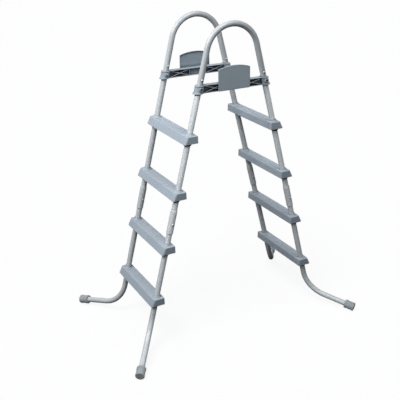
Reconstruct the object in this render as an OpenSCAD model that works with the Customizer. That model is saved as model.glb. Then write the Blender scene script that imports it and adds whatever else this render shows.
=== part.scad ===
// Above-ground pool ladder: two handrail loops, two braces, four two-piece legs
// and eight treads. X runs across the pool wall, Y runs along the treads, Z is up.
// The origin is on the ground, midway between the four legs.

/* [Frame] */
// Distance between the front and the back rail centres
rail_spacing = 404; // [390:2:420]
// Outside diameter of the tubes
tube_d = 31.8; // [31:0.1:32.4]
// Wall thickness of the tubes
tube_wall = 1.5; // [1.3:0.1:1.6]
// Lean of each leg from upright, in degrees
leg_lean = 14.2; // [13:0.1:15]
// Radius of the handrail arch, to the tube centre
arch_r = 152; // [145:1:160]
// Height of the arch centre above the ground
arch_z = 1610; // [1600:1:1640]

/* [Steps] */
// Height of the highest tread
step_top_z = 1212; // [1190:1:1220]
// Height from one tread to the next
riser = 300; // [290:1:302]
// Length of a tread
step_len = 479; // [465:1:490]
// Depth of the tread body below its top
step_h = 40.5; // [37:0.5:43]
// Wall thickness of the tread moulding
step_wall = 3; // [2.6:0.1:3.4]
// Number of cross ribs under a tread
step_ribs = 5; // [3:2:7]

/* [Braces] */
// Height of the top of the braces
brace_top_z = 1468; // [1462:1:1472]
// Height of the brace section
brace_h = 43; // [41:1:45]
// Width of the brace flanges
brace_w = 34; // [32:1:36]
// Outside diameter of the brace collars
collar_d = 48; // [47:0.5:50]
// Half the width of the arched panel
panel_half_w = 94; // [90:1:98]
// Height of the arched panel at its middle
panel_h = 128; // [120:1:134]

/* [Legs] */
// Outside diameter of the socket at the lower end of an upper leg
socket_d = 37.4; // [37.2:0.1:38]
// Height of the lower end of the sockets
socket_z0 = 678; // [670:1:684]
// Height where the sockets start to flare
socket_z1 = 812; // [804:1:816]
// Bend radius of the feet, to the tube centre
foot_bend_r = 165; // [160:1:170]
// Turn of the feet from the Y direction, in degrees
foot_turn = 33.5; // [30:0.5:36]
// Dip of the feet below level, in degrees
foot_dip = 10.8; // [9:0.1:12]
// Length of a foot from its corner to the cap end
foot_len = 318; // [312:1:330]
// Outside diameter of the foot caps
cap_d = 52; // [50:0.5:53]
// Length of the foot caps
cap_len = 60; // [56:1:64]

/* [Snap buttons] */
// Diameter of the snap buttons
button_d = 10; // [9.6:0.1:10.2]
// How far a button stands out of the outer tube
button_out = 5.5; // [5:0.1:6]
// Height of the upper buttons
button_hi_z = 1494; // [1492:1:1498]
// Height of the lower buttons
button_lo_z = 731; // [728:1:736]

/* [Hidden] */
$fn = 64;

// Fits
gap = 0.1;   // clearance between parts
seam = 0.08; // bends are this much thinner than the straights
lap = 2;     // length by which the straights lap over the bends

// Tubes
tube_r = tube_d / 2;
bore_r = tube_r - tube_wall;
clear_r = tube_r + gap;       // hole that takes a tube
spigot_r = bore_r - gap;      // reduced top of an upper leg
spigot_bore_r = spigot_r - 1.3;
socket_r = socket_d / 2;
rail_y = rail_spacing / 2;

// Heights
rail_end_z = brace_top_z - 35;
leg_top_z = button_hi_z + 22;
low_top_z = socket_z1 - 14;
bolt_z = brace_top_z - 19;
brace_mid_z = brace_top_z - brace_h / 2;
brace_bot_z = brace_top_z - brace_h;

steel_color = [0.76, 0.78, 0.79];
tread_color = [0.58, 0.62, 0.66];
panel_color = [0.57, 0.61, 0.65];
cap_color = [0.55, 0.58, 0.59];
dark_color = [0.13, 0.14, 0.15];
zinc_color = [0.85, 0.86, 0.87];
spring_color = [0.70, 0.71, 0.73];

// Names end in f/b for front (-Y) or back (+Y) and l/r for left (-X) or right (+X).

// ---- Helpers ----
// Throughout, sx and sy are the signs of X and Y that pick a leg.

// Distance of a leg axis from the middle plane at height z.
function leg_x(z) =
  arch_r * cos(leg_lean) + (arch_z + arch_r * sin(leg_lean) - z) * tan(leg_lean);
function unit(v) = v / norm(v);

// Points on an arc with radii rx and ry; a negative ry turns it upside down.
function arc(centre, rx, ry, angles) = [for (a = angles) centre + [rx * cos(a), ry * sin(a)]];
// Rectangle from x0 to x1, reaching y on both sides of the X axis.
function rect(x0, x1, y) = [[x0, -y], [x1, -y], [x1, y], [x0, y]];

// Arc points that replace one corner of an outline.
function corner_pts(before, corner, after, radius, steps) =
  radius <= 0 ? [corner] :
  let (u = unit(before - corner),
       v = unit(after - corner),
       half_angle = acos(max(-1, min(1, u * v))) / 2,
       centre = corner + unit(u + v) * (radius / sin(half_angle)),
       first = corner + u * (radius / tan(half_angle)) - centre,
       last = corner + v * (radius / tan(half_angle)) - centre,
       start = atan2(first[1], first[0]),
       turn = atan2(last[1], last[0]) - start,
       sweep = turn > 180 ? turn - 360 : turn < -180 ? turn + 360 : turn)
  [for (i = [0:steps])
    centre + radius * [cos(start + sweep * i / steps), sin(start + sweep * i / steps)]];
// Closed outline with one rounding radius for each point.
function rounded(pts, radii, steps = 5) =
  let (m = len(pts))
  [for (i = [0:m - 1])
    each corner_pts(pts[(i + m - 1) % m], pts[i], pts[(i + 1) % m], radii[i], steps)];

// Local frame of a leg: origin on its axis at height z, +z up along the leg.
module at_leg(sx, sy, z) {
  translate([sx * leg_x(z), sy * rail_y, z]) rotate([0, -sx * leg_lean, 0]) children();
}
// Turns +z to the global direction side * Y.
module along_y(side) { rotate([-90 * side, 0, 0]) children(); }

module ring2d(outer, inner) {
  difference() {
    circle(r = outer);
    circle(r = inner);
  }
}
module tube(length) { linear_extrude(length) ring2d(tube_r, bore_r); }
module tube_bend(radius, angle) {
  rotate_extrude(angle = angle) translate([radius, 0]) ring2d(tube_r - seam, bore_r + seam);
}

// Cylinder on a leg axis, centred at height z and cut level by a slab.
module level_collar(sx, sy, z, radius, length, slab, slab_z) {
  intersection() {
    at_leg(sx, sy, z) cylinder(r = radius, h = length, center = true);
    translate([sx * leg_x(z), sy * rail_y, slab_z]) cube(slab, center = true);
  }
}

// Holes. Their lengths only have to pass through the wall being cut.
bolt_hole_r = 3.2;
module button_hole(sx, sy, z) {
  at_leg(sx, sy, z) along_y(-1) cylinder(r = button_d / 2 + gap, h = 30);
}
module bolt_hole(sx, sy) {
  at_leg(sx, sy, bolt_z) along_y(1) cylinder(r = bolt_hole_r, h = 60, center = true);
}
module leg_hole(sx, sy, z, length) {
  at_leg(sx, sy, z) cylinder(r = clear_r, h = length, center = true);
}

// ---- Handrails ----
module handrail(sy) {
  arch_end_z = arch_z + arch_r * sin(leg_lean);
  straight = (arch_end_z - rail_end_z) / cos(leg_lean);
  color(steel_color) difference() {
    union() {
      translate([0, sy * rail_y, arch_z]) rotate([90, 0, 0]) rotate([0, 0, leg_lean])
        tube_bend(arch_r, 180 - 2 * leg_lean);
      for (sx = [-1, 1]) at_leg(sx, sy, rail_end_z) tube(straight + lap);
    }
    for (sx = [-1, 1]) {
      button_hole(sx, sy, button_hi_z);
      bolt_hole(sx, sy);
    }
  }
}
module handrail_front() { handrail(-1); }
module handrail_back() { handrail(1); }

// ---- Upper legs ----
flare_len = 13;

// Distance along a leg from the socket end to height z.
function along_leg(z) = (z - socket_z0) / cos(leg_lean);

module upper_leg(sx, sy) {
  flare_top = along_leg(socket_z1);
  flare_low = flare_top - flare_len;
  rail_end = along_leg(rail_end_z);
  shoulder = rail_end - 0.4;
  top = along_leg(leg_top_z);
  color(steel_color) difference() {
    // Columns: radius, distance up the leg.
    at_leg(sx, sy, socket_z0) rotate_extrude() polygon([
      [clear_r, 0], [socket_r, 0], [socket_r, flare_low], [tube_r, flare_top],
      [tube_r, shoulder], [spigot_r, shoulder], [spigot_r, top], [spigot_bore_r, top],
      [spigot_bore_r, rail_end - 6], [bore_r, rail_end - 10],
      [bore_r, flare_top], [clear_r, flare_low]]);
    button_hole(sx, sy, button_lo_z);
    button_hole(sx, sy, button_hi_z);
    bolt_hole(sx, sy);
    for (k = [1, 2]) lock_hole(sx, sy, k);
  }
}
module upper_leg_fl() { upper_leg(-1, -1); }
module upper_leg_fr() { upper_leg(1, -1); }
module upper_leg_bl() { upper_leg(-1, 1); }
module upper_leg_br() { upper_leg(1, 1); }

// ---- Lower legs and feet ----
cap_r = cap_d / 2;
cap_flat = 2;      // depth cut off a cap where it meets the ground
cap_end_t = 7.8;   // thickness of the closed end
cap_round = 5;     // rounding of the cap edges
tube_end_in = 8;   // the tube stops this far short of the cap end

// Height of the corner where the leg and foot axes meet.
foot_z = foot_len * sin(foot_dip) + cap_r * cos(foot_dip) - cap_flat;

function foot_dir(sx, sy) = [sx * sin(foot_turn) * cos(foot_dip),
                             sy * cos(foot_turn) * cos(foot_dip), -sin(foot_dip)];
function down_dir(sx) = [sx * sin(leg_lean), 0, -cos(leg_lean)];

// The bend is the same at all four legs.
bend_angle = acos(down_dir(1) * foot_dir(1, 1));
bend_tangent = foot_bend_r * tan(bend_angle / 2); // from the corner to a bend end
foot_run = foot_len - bend_tangent;               // from the bend to the cap end

// Frame at the start of a foot bend: +z runs down the leg, +x points to the bend centre.
module at_bend(sx, sy) {
  down = down_dir(sx);
  foot = foot_dir(sx, sy);
  x = unit(foot - down * (foot * down));
  y = cross(down, x);
  start = [sx * leg_x(foot_z), sy * rail_y, foot_z] - down * bend_tangent;
  multmatrix([[x[0], y[0], down[0], start[0]],
              [x[1], y[1], down[1], start[1]],
              [x[2], y[2], down[2], start[2]],
              [0, 0, 0, 1]])
    children();
}
// Frame on a foot axis, the given distance past the bend, +z towards the cap.
module at_foot(sx, sy, distance) {
  at_bend(sx, sy)
    translate([foot_bend_r * (1 - cos(bend_angle)), 0, foot_bend_r * sin(bend_angle)])
      rotate([0, bend_angle, 0]) translate([0, 0, distance]) children();
}

module lower_leg(sx, sy) {
  bend_z = foot_z + bend_tangent * cos(leg_lean);
  straight = (low_top_z - bend_z) / cos(leg_lean);
  color(steel_color) difference() {
    union() {
      at_bend(sx, sy) {
        translate([0, 0, -straight]) tube(straight + lap);
        translate([foot_bend_r, 0, 0]) rotate([90, 0, 0]) rotate([0, 0, 180 - bend_angle])
          tube_bend(foot_bend_r, bend_angle);
      }
      at_foot(sx, sy, -lap) tube(foot_run - tube_end_in + lap);
    }
    button_hole(sx, sy, button_lo_z);
    for (k = [3, 4]) lock_hole(sx, sy, k);
  }
}
module lower_leg_fl() { lower_leg(-1, -1); }
module lower_leg_fr() { lower_leg(1, -1); }
module lower_leg_bl() { lower_leg(-1, 1); }
module lower_leg_br() { lower_leg(1, 1); }

module foot_cap(sx, sy) {
  round_x = cap_r - cap_round;
  color(cap_color) difference() {
    // Columns: radius, distance from the open end.
    at_foot(sx, sy, foot_run - cap_len) rotate_extrude() polygon(concat(
      [[clear_r, 0], [tube_r + 4.5, 0]],
      arc([round_x, 6], cap_round, -cap_round, [60:-20:0]),
      arc([round_x, cap_len - cap_round], cap_round, cap_round, [0:18:90]),
      [[0, cap_len], [0, cap_len - cap_end_t], [clear_r, cap_len - cap_end_t]]));
    // Everything below the ground is cut away.
    translate([sx * 700, sy * 450, -50]) cube([400, 400, 100], center = true);
  }
}
module foot_cap_fl() { foot_cap(-1, -1); }
module foot_cap_fr() { foot_cap(1, -1); }
module foot_cap_bl() { foot_cap(-1, 1); }
module foot_cap_br() { foot_cap(1, 1); }

// ---- Treads ----
// Reach of a tread from the leg axis, towards the middle plane (in) and away (out).
in_top = 32.5;
out_top = 30.5;
in_bot = 34;
out_bot = 49.7;
tread_top_t = 3.2;
field_depth = 0.55;
tread_rib_t = 2.4;
rib_span = rail_spacing - 84; // between the first and the last rib
sleeve_r = 21;
// Flared seat round a leg on top of a tread, cut square to the leg.
seat_r = 26.5;    // at the tread top
seat_slope = 0.82;
seat_h = 8.5;     // up the leg axis
seat_sink = 4;    // start of the cone below the tread top
cone_h = 20;
// Locking collars
lock_h = 13.8;
lock_drop = step_h + 7; // peg below the tread top

// Treads are numbered from the top.
function step_z(k) = step_top_z - (k - 1) * riser;

// Frame of a locking peg, the given distance from the leg axis, +z to the middle plane.
module at_peg(sx, sy, k, distance) {
  at_leg(sx, sy, step_z(k) - lock_drop) rotate([0, -90 * sx, 0])
    translate([0, 0, distance]) children();
}
// Hole in a leg for the locking peg of the collar under tread k.
module lock_hole(sx, sy, k) { at_peg(sx, sy, k, bore_r - 3) cylinder(r = 2.6, h = 8); }

// Three outlines bound a tread, each drawn in by inset: section, plan and end view.
module section(inset, top) {
  polygon(rounded(
    [[-in_bot + inset, -step_h], [-in_top + inset, top],
     [out_top - inset, top], [out_bot - inset, -step_h]],
    [0, inset > 0 ? 1.5 : 3.5, inset > 0 ? 2 : 5, 0]));
}
module plan(inset) {
  translate([0, 0, -step_h - 2]) linear_extrude(step_h + 6) polygon(rounded(
    rect(-(in_bot - inset + 0.01), out_bot - inset + 0.01, step_len / 2 - inset),
    [6, 13, 13, 6]));
}
module end_view(inset, top) {
  end = step_len / 2 - inset;
  rotate([90, 0, 90]) linear_extrude(120, center = true) polygon(rounded(
    [[-end, -step_h - 0.5], [end, -step_h - 0.5], [end - 0.5, top], [-end + 0.5, top]],
    [0, 0, 3, 3]));
}
module tread_body(inset, top) {
  intersection() {
    rotate([90, 0, 0]) linear_extrude(step_len - 2 * inset, center = true) section(inset, top);
    plan(inset);
    end_view(inset, top);
  }
}
module tread_shell() {
  difference() {
    tread_body(0, 0);
    translate([0, 0, -0.01]) tread_body(step_wall, -tread_top_t);
    // Shallow field sunk in the top.
    translate([0, 0, -field_depth]) linear_extrude(4)
      polygon(rounded(rect(-24, 21.5, 173), [7, 7, 7, 7]));
  }
}
module tread_ribs() {
  intersection() {
    tread_body(1, -1);
    for (j = [0:step_ribs - 1])
      translate([0, (j - (step_ribs - 1) / 2) * rib_span / (step_ribs - 1), -step_h / 2 + 2])
        cube([120, tread_rib_t, step_h - 4], center = true);
  }
}
module leg_seat(sy, z) {
  intersection() {
    translate([leg_x(z), sy * rail_y, z - seat_sink])
      cylinder(r1 = seat_r + seat_sink * seat_slope,
               r2 = seat_r - (cone_h - seat_sink) * seat_slope, h = cone_h);
    at_leg(1, sy, z) translate([0, 0, seat_h - 60]) cube([160, 160, 120], center = true);
  }
}
module step_right(k) {
  z = step_z(k);
  color(tread_color) difference() {
    union() {
      translate([leg_x(z), 0, z]) {
        tread_shell();
        tread_ribs();
      }
      for (sy = [-1, 1]) {
        level_collar(1, sy, z, radius = sleeve_r, length = 120,
                     slab = [140, 90, step_h - 1], slab_z = z - step_h / 2 - 0.5);
        leg_seat(sy, z);
      }
    }
    for (sy = [-1, 1]) leg_hole(1, sy, z, 200);
  }
}
module step_left(k) { mirror([1, 0, 0]) step_right(k); }
module step_l1() { step_left(1); }
module step_l2() { step_left(2); }
module step_l3() { step_left(3); }
module step_l4() { step_left(4); }
module step_r1() { step_right(1); }
module step_r2() { step_right(2); }
module step_r3() { step_right(3); }
module step_r4() { step_right(4); }

// Locking collars that carry the treads, each with a peg into the leg.
module step_collars(sx) {
  color(dark_color) for (k = [1:4], sy = [-1, 1]) {
    z = step_z(k) - step_h;
    difference() {
      level_collar(sx, sy, z, radius = 20.6, length = 60,
                   slab = [90, 90, lock_h], slab_z = z - gap - lock_h / 2);
      leg_hole(sx, sy, z, 80);
    }
    at_peg(sx, sy, k, bore_r - 1) cylinder(r = 2.4, h = 4);
  }
}
module step_collars_left() { step_collars(-1); }
module step_collars_right() { step_collars(1); }

// ---- Braces ----
flange_t = 4;
web_t = 3;
rib_t = 2.4;
rib_x = 53;        // upright ribs, from the middle plane
lip_h = 6;         // lip round the bottom of a collar
boss_r = 10.2;     // bolt bosses on the collars
boss_out = 29;     // reach of a boss from the leg axis
bore_depth = 9;    // counterbore for a bolt head
head_seat = boss_out - bore_depth;
screw_x = 85;      // panel screws, from the middle plane

// Upright ribs, and a diagonal cross between each of them and the collar.
module beam_ribs() {
  inner_h = brace_h - 2 * flange_t;
  x0 = rib_x + rib_t / 2;
  x1 = leg_x(brace_top_z) - 21;
  slope = atan2(inner_h - rib_t, x1 - x0);
  diagonal = norm([inner_h - rib_t, x1 - x0]);
  for (sx = [-1, 1]) {
    translate([sx * rib_x, 0, brace_mid_z]) cube([rib_t, brace_w - 3, inner_h + 0.2], center = true);
    for (side = [-1, 1])
      translate([sx * (x0 + x1) / 2, 0, brace_mid_z]) rotate([0, side * slope, 0])
        cube([diagonal + 2, brace_w - 5, rib_t], center = true);
  }
}
module beam() {
  top_len = 2 * leg_x(brace_top_z);
  bottom_len = 2 * leg_x(brace_bot_z);
  translate([0, 0, brace_top_z - flange_t / 2])
    cube([top_len, brace_w, flange_t], center = true);
  translate([0, 0, brace_bot_z + flange_t / 2])
    cube([bottom_len, brace_w - 6, flange_t], center = true);
  translate([0, 0, brace_mid_z]) cube([top_len, web_t, brace_h - 2], center = true);
  beam_ribs();
}
module brace_collar(sx, sy) {
  collar_r = collar_d / 2;
  level_collar(sx, sy, brace_mid_z, radius = collar_r, length = 90,
               slab = [100, 100, brace_h], slab_z = brace_mid_z);
  level_collar(sx, sy, brace_bot_z, radius = collar_r + 4, length = 60,
               slab = [90, 90, lip_h], slab_z = brace_bot_z + lip_h / 2);
  level_collar(sx, sy, brace_top_z, radius = collar_r + 2, length = 60,
               slab = [90, 90, flange_t], slab_z = brace_top_z - flange_t / 2);
  at_leg(sx, sy, bolt_z) along_y(1) cylinder(r = boss_r, h = 2 * boss_out, center = true);
}
module brace(sy) {
  color(tread_color) difference() {
    union() {
      translate([0, sy * rail_y, 0]) beam();
      for (sx = [-1, 1]) brace_collar(sx, sy);
    }
    for (sx = [-1, 1]) {
      leg_hole(sx, sy, brace_mid_z, 160);
      at_leg(sx, sy, bolt_z) along_y(sy) {
        cylinder(r = bolt_hole_r, h = 80, center = true);
        translate([0, 0, head_seat]) cylinder(r = 6.6, h = 20);
      }
      at_screw(sx, sy, 0) cylinder(r = 2.2, h = 20, center = true);
    }
  }
}
module brace_front() { brace(-1); }
module brace_back() { brace(1); }

// ---- Arched panels ----
panel_r = 300;    // radius of the arched top
panel_t = 8;
panel_wall = 2.6;
groove_depth = 0.6;
arch_steps = 16;

// Frame on a panel screw axis, +z outward, the given distance out from the web middle.
module at_screw(sx, sy, out) {
  translate([sx * screw_x, sy * (rail_y + out), brace_mid_z]) along_y(sy) children();
}

module panel2d(inset) {
  half_w = panel_half_w - inset;
  top_r = panel_r - inset;
  end_a = asin((half_w - 0.1) / top_r);
  polygon(rounded(
    concat([[-half_w, inset], [half_w, inset]],
      [for (j = [0:arch_steps]) let (a = end_a - 2 * end_a * j / arch_steps)
        [top_r * sin(a), panel_h - panel_r + top_r * cos(a)]]),
    concat([3, 3, 7], [for (j = [1:arch_steps - 1]) 0], [7]), 4));
}
// Panel lying on its inner face, base on the X axis.
module panel_plate() {
  hollow_y = brace_h + 2;
  difference() {
    linear_extrude(panel_t) panel2d(0);
    // Fine groove round the outer face.
    translate([0, 0, panel_t - groove_depth]) linear_extrude(2) difference() {
      panel2d(4);
      panel2d(5.2);
    }
    // Hollow in the inner face, above the brace.
    translate([0, hollow_y, -1]) linear_extrude(panel_t - panel_wall + 1) intersection() {
      translate([0, -hollow_y]) panel2d(panel_wall);
      translate([-200, 1.5]) square([400, 200]);
    }
  }
}
module panel(sy) {
  inner_y = brace_w / 2;
  color(panel_color) difference() {
    union() {
      translate([0, sy * (rail_y + inner_y + 0.05), brace_bot_z + 1])
        mirror([0, sy > 0 ? 0 : 1, 0]) rotate([90, 0, 180]) panel_plate();
      // Screw posts that reach back to the web.
      for (sx = [-1, 1]) at_screw(sx, sy, web_t / 2 + 0.05)
        cylinder(r = 4.2, h = inner_y - web_t / 2 + 1);
    }
    for (sx = [-1, 1]) at_screw(sx, sy, web_t / 2 - 1) cylinder(r = 1.9, h = 16);
  }
}
module panel_front() { panel(-1); }
module panel_back() { panel(1); }

// Screws that hold the panels, driven from the inner side of the webs.
module panel_screws() {
  // Columns: radius, distance from under the head.
  color(dark_color) for (sx = [-1, 1], sy = [-1, 1]) at_screw(sx, sy, -web_t / 2 - 0.05)
    rotate_extrude() polygon([
      [0, -2.4], [2.4, -2.2], [3.6, -1.2], [3.8, 0], [1.85, 0], [1.85, 14], [0, 15]]);
}

// ---- Collar bolts and nuts ----
// The heads face outward and the nuts are on the inner ends of the bosses.
bolt_r = 2.95;
bolt_end = 33; // reach of the threaded end from the leg axis
nut_h = 3.6;

module collar_bolts() {
  // Columns: radius, distance from the leg axis.
  color(zinc_color) for (sx = [-1, 1], sy = [-1, 1]) at_leg(sx, sy, bolt_z) along_y(sy)
    rotate_extrude() polygon([
      [0, -bolt_end], [2.6, -bolt_end], [bolt_r, 1 - bolt_end], [bolt_r, head_seat + 0.05],
      [5.6, head_seat + 0.05], [5.5, head_seat + 2.2], [4.6, head_seat + 3.4],
      [2.2, head_seat + 3.6], [0, head_seat + 3.6]]);
}
module collar_nuts() {
  color(zinc_color) for (sx = [-1, 1], sy = [-1, 1])
    at_leg(sx, sy, bolt_z) along_y(-sy) difference() {
      union() {
        translate([0, 0, boss_out + 0.05]) cylinder(r = 5.8, h = nut_h, $fn = 6);
        // Domed end.
        translate([0, 0, boss_out + nut_h - 0.1]) rotate_extrude()
          polygon(concat([[0, 0]], arc([0, 0], 4.9, 4.2, [0:15:90])));
      }
      cylinder(r = bolt_r + gap, h = 34.2);
    }
}

// ---- Snap buttons and spring clips ----
arm_t = 1;
arm_w = 10;
arm_len = 22;    // below the button axis
arm_over = 6;    // above the button axis
clip_gap = 1.2;  // between an arm and the bore
button_round = 4;

// Button with its spring arm, on the front of a leg. outer_r is the radius of the
// outer tube and inner_r the bore that holds the clip.
module button(sx, sy, z, outer_r, inner_r) {
  tip = outer_r + button_out;
  button_r = button_d / 2;
  base = inner_r - clip_gap - 0.1;
  color(zinc_color) at_leg(sx, sy, z) {
    along_y(-1) rotate_extrude() polygon(concat(
      [[0, base], [button_r, base]],
      arc([button_r - button_round, tip - button_round], button_round, button_round, [0:15:90]),
      [[0, tip]]));
    translate([0, -inner_r + clip_gap + arm_t / 2, (arm_over - arm_len) / 2])
      cube([arm_w, arm_t, arm_len + arm_over], center = true);
  }
}
module button_hi(sx, sy) { button(sx, sy, button_hi_z, tube_r, spigot_bore_r); }
module button_lo(sx, sy) { button(sx, sy, button_lo_z, socket_r, bore_r); }
module button_hi_fl() { button_hi(-1, -1); }
module button_hi_fr() { button_hi(1, -1); }
module button_hi_bl() { button_hi(-1, 1); }
module button_hi_br() { button_hi(1, 1); }
module button_lo_fl() { button_lo(-1, -1); }
module button_lo_fr() { button_lo(1, -1); }
module button_lo_bl() { button_lo(-1, 1); }
module button_lo_br() { button_lo(1, 1); }

// Fixed half of each spring clip: the fold and the arm on the far wall.
module clip_back(sx, sy, z, inner_r) {
  fold_r = inner_r - clip_gap;
  at_leg(sx, sy, z) translate([0, 0, -arm_len - 0.3]) rotate([90, 0, 90])
    linear_extrude(arm_w, center = true) {
      difference() {
        circle(r = fold_r);
        circle(r = fold_r - arm_t);
        translate([-20, 0]) square([40, 20]);
      }
      translate([fold_r - arm_t, -0.01]) square([arm_t, arm_len + arm_over]);
    }
}
module clip_springs() {
  color(spring_color) for (sx = [-1, 1], sy = [-1, 1]) {
    clip_back(sx, sy, button_hi_z, spigot_bore_r);
    clip_back(sx, sy, button_lo_z, bore_r);
  }
}

handrail_front();
handrail_back();
brace_front();
brace_back();
panel_front();
panel_back();
upper_leg_fl();
upper_leg_fr();
upper_leg_bl();
upper_leg_br();
lower_leg_fl();
lower_leg_fr();
lower_leg_bl();
lower_leg_br();
step_l1();
step_l2();
step_l3();
step_l4();
step_r1();
step_r2();
step_r3();
step_r4();
step_collars_left();
step_collars_right();
foot_cap_fl();
foot_cap_fr();
foot_cap_bl();
foot_cap_br();
button_hi_fl();
button_hi_fr();
button_hi_bl();
button_hi_br();
button_lo_fl();
button_lo_fr();
button_lo_bl();
button_lo_br();
clip_springs();
collar_bolts();
collar_nuts();
panel_screws();
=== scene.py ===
"""Pool ladder: moulded pieces, materials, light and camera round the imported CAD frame.

The ladder stands on the floor at z = 0 with +Z up. Two flights of four treads lean together
along X, the left one at -X and the right one at +X, and two arched handrails join their legs.
The front row of legs is at -Y, the back row at +Y. Pieces are drawn in millimetres.
"""

import bmesh
import bpy
import math
from mathutils import Matrix, Vector


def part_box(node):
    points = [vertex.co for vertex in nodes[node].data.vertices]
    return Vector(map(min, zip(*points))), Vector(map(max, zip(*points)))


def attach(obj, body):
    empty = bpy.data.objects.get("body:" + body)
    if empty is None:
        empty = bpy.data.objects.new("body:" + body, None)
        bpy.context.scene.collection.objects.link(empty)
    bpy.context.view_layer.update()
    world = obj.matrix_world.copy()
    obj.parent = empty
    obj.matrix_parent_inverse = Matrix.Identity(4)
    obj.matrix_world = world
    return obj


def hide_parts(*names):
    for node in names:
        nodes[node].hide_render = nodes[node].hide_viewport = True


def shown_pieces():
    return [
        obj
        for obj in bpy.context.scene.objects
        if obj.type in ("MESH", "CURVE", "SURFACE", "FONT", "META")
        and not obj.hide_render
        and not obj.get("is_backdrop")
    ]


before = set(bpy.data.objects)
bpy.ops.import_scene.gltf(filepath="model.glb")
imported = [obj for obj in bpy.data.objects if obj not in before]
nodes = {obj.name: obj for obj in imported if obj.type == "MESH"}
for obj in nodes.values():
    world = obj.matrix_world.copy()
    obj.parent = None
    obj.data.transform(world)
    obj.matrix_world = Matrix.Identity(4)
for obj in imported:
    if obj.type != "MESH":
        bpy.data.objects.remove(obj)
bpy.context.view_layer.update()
MM = 0.001
SCENE = bpy.context.scene

SIDES = (("left", -1), ("right", 1))  # along X
ROWS = (("front", -1), ("back", 1))  # along Y

# ---------------------------------------------------------------- driving dimensions


def node_box(name):
    """Low and high corner of a CAD node, in millimetres."""
    lo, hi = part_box(name)
    return lo * 1000, hi * 1000


LEAN = math.radians(14.2)  # of the legs, from upright
TUBE_R = 15.9
GAP = 0.1  # clearance round a tube
BORE_R = TUBE_R + GAP
ARCH_R = 152.0  # bend of a handrail, on the tube's axis
RAIL_BOX_SHORT = 0.08  # the handrail's box ends this far inside the tube's radius
SOCKET_RIM_R = 18.7

rail_lo, rail_hi = node_box("handrail_back")
LEG_Y = (rail_lo.y + rail_hi.y) / 2
ARCH_Z = rail_hi.z - ARCH_R - (TUBE_R - RAIL_BOX_SHORT)

brace_lo, brace_hi = node_box("brace_back")
BRACE_TOP, BRACE_BOT = brace_hi.z, brace_lo.z
BRACE_H = BRACE_TOP - BRACE_BOT
if abs(BRACE_H - 43) > 3:
    # the bosses and flanges are drawn for a brace of about this height
    raise SystemExit("brace box is not the brace's height: %r" % BRACE_H)
BRACE_MID = (BRACE_TOP + BRACE_BOT) / 2


def leg_x(z):
    """Distance of a leg's axis from the middle plane at height z."""
    return ARCH_R * math.cos(LEAN) + (ARCH_Z + ARCH_R * math.sin(LEAN) - z) * math.tan(LEAN)


# lower end of the sockets, on the leg axis
SOCKET_Z = node_box("upper_leg_fl")[0].z + SOCKET_RIM_R * math.sin(LEAN)

# ---------------------------------------------------------------- outlines and solids
# A solid is passed round as data: (verts, faces), in millimetres.


def loft(rings, looped=False):
    """Faces between rings of equal length: flat ends, or the last ring joined to the first."""
    size, count = len(rings[0]), len(rings)
    verts = [point for ring in rings for point in ring]
    faces = []
    for i in range(count if looped else count - 1):
        near, far = i * size, (i + 1) % count * size
        for k in range(size):
            k2 = (k + 1) % size
            faces.append([near + k, near + k2, far + k2, far + k])
    if not looped:
        last = (count - 1) * size
        faces.append(list(reversed(range(size))))
        faces.append([last + k for k in range(size)])
    return verts, faces


def around_z(radius, height, angle):
    return (radius * math.cos(angle), radius * math.sin(angle), height)


def lathe(profile, seg, place=around_z):
    """Closed solid from a closed profile [(radius, height), ...], anticlockwise.

    place(radius, height, angle) puts a profile point at an angle.
    """
    verts, faces, index = [], [], []
    for radius, height in profile:
        if radius < 1e-6:
            index.append([len(verts)] * seg)
            verts.append(place(0, height, 0))
        else:
            index.append(list(range(len(verts), len(verts) + seg)))
            verts += [place(radius, height, 2 * math.pi * k / seg) for k in range(seg)]
    for i in range(len(profile)):
        j = (i + 1) % len(profile)
        if profile[i][0] < 1e-6 and profile[j][0] < 1e-6:
            continue
        for k in range(seg):
            k2 = (k + 1) % seg
            face = []
            for vert in (index[i][k], index[i][k2], index[j][k2], index[j][k]):
                if vert not in face:
                    face.append(vert)
            if len(face) > 2:
                faces.append(face)
    return verts, faces


def leg_lathe(profile, seg, side_x, y=0.0):
    """Turned solid that leans with a leg; heights are absolute and its ends stay level."""

    def place(radius, z, angle):
        x = side_x * leg_x(z) + radius * math.cos(angle) / math.cos(LEAN)
        return (x, y + radius * math.sin(angle), z)

    return lathe(profile, seg, place)


def along_y(x, z, profile, seg=48):
    """Turned solid about a line along Y through (x, z)."""
    verts, faces = lathe(profile, seg)
    return [(x + v[0], v[2], z + v[1]) for v in verts], faces


def arc(x, y, radius, degrees):
    """Points of a circle at the given angles."""
    return [
        (x + radius * math.cos(math.radians(a)), y + radius * math.sin(math.radians(a)))
        for a in degrees
    ]


def fillet(points, steps):
    """Rounds the corners of a closed outline: [(x, y, radius), ...]."""
    out = []
    for i, (x, y, radius) in enumerate(points):
        if radius <= 0:
            out.append((x, y))
            continue
        corner = Vector((x, y))
        back = (Vector(points[i - 1][:2]) - corner).normalized()
        ahead = (Vector(points[(i + 1) % len(points)][:2]) - corner).normalized()
        half = math.acos(max(-1, min(1, back.dot(ahead)))) / 2
        centre = corner + (back + ahead).normalized() * (radius / math.sin(half))
        start = corner + back * (radius / math.tan(half)) - centre
        end = corner + ahead * (radius / math.tan(half)) - centre
        first = math.atan2(start.y, start.x)
        sweep = math.atan2(end.y, end.x) - first
        while sweep > math.pi:
            sweep -= 2 * math.pi
        while sweep < -math.pi:
            sweep += 2 * math.pi
        for k in range(steps + 1):
            angle = first + sweep * k / steps
            out.append((centre.x + radius * math.cos(angle), centre.y + radius * math.sin(angle)))
    return out


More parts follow.
